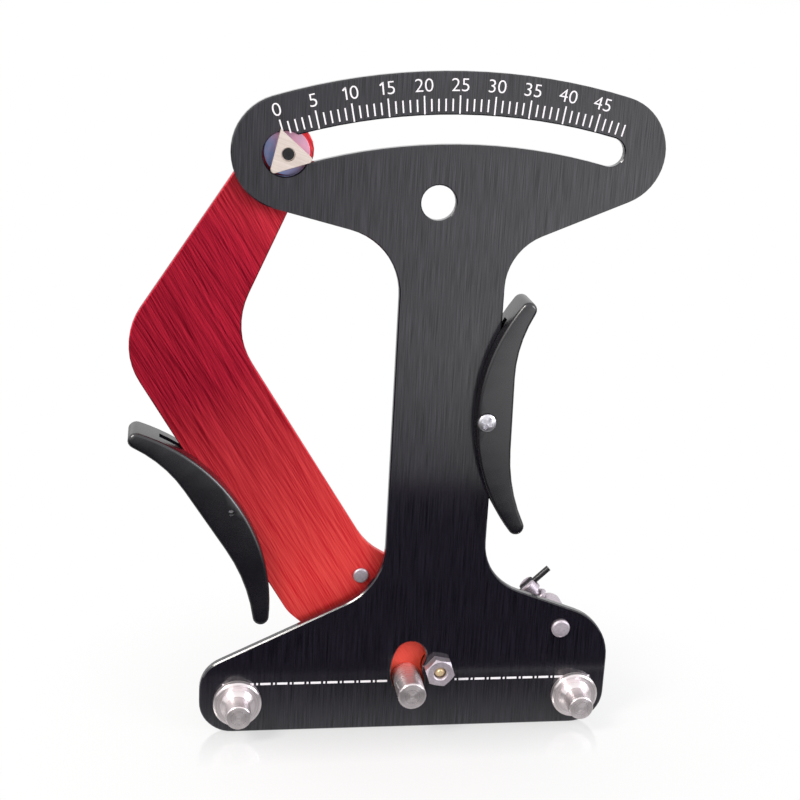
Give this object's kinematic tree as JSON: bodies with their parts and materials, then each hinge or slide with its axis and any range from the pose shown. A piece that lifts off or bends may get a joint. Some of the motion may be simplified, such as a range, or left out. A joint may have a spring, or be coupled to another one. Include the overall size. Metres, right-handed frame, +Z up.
{
  "type": "spoke tension meter",
  "caption": "Wheel-spoke tension meter: slotted scale plate, sprung lever arm with a pointer, two grips, and posts that bend the spoke when the grips are squeezed.",
  "frame": {"origin": "centre of the hanging hole, at the scale plate's front face", "axes": "+Z up with the scale at the top, -Y is the front face with the scale and posts, +X to the right seen from the front; rest pose is the arm fully open with the pointer at nought"},
  "size_m": [0.1471, 0.0288, 0.1967],
  "materials": {
    "black_anodised": "black anodised, brushed along the neck",
    "red_anodised": "red anodised, brushed along the lower limb",
    "turned_steel": "bright turned steel",
    "stainless": "brushed stainless sheet",
    "yellow_zinc": "yellow zinc plate",
    "bronze": "sintered bronze",
    "black_oxide": "black oxide",
    "spring_black": "black spring wire",
    "black_plastic": "moulded, satin"
  },
  "bodies": {
    "plate": {"body_plate": "black_anodised", "fixed_post_left": "turned_steel", "fixed_post_right": "turned_steel", "fixed_post_screw_left": "black_oxide", "fixed_post_screw_right": "black_oxide", "pivot_bolt": "turned_steel", "pivot_screw": "yellow_zinc", "spring_retaining_washer": "turned_steel", "spring_sleeve": "bronze", "thrust_washer_front": "bronze", "plate_spring_post": "turned_steel", "calibration_screw": "turned_steel", "calibration_lock_nut": "turned_steel", "torsion_spring": "spring_black", "grip_right": "black_plastic", "grip_right_screw": "turned_steel"},
    "arm": {"lever_arm": "red_anodised", "moving_post": "turned_steel", "moving_post_screw": "black_oxide", "arm_spring_post": "turned_steel", "pointer": "stainless", "pointer_screw": "black_oxide", "pointer_guide": "turned_steel", "grip_left": "black_plastic", "grip_left_screw": "turned_steel", "arm_bush": "bronze", "thrust_washer_rear": "bronze"}
  },
  "joints": [
    {"name": "arm_pivot", "type": "hinge", "parent": "plate", "child": "arm", "pos_m": [0.0085, 0, -0.1417], "axis": [0, 1, 0], "range_deg": [0, 32], "stiffness_Nm_per_rad": 0.35, "springref_deg": -25.78, "deforming": ["torsion_spring"]}
  ]
}
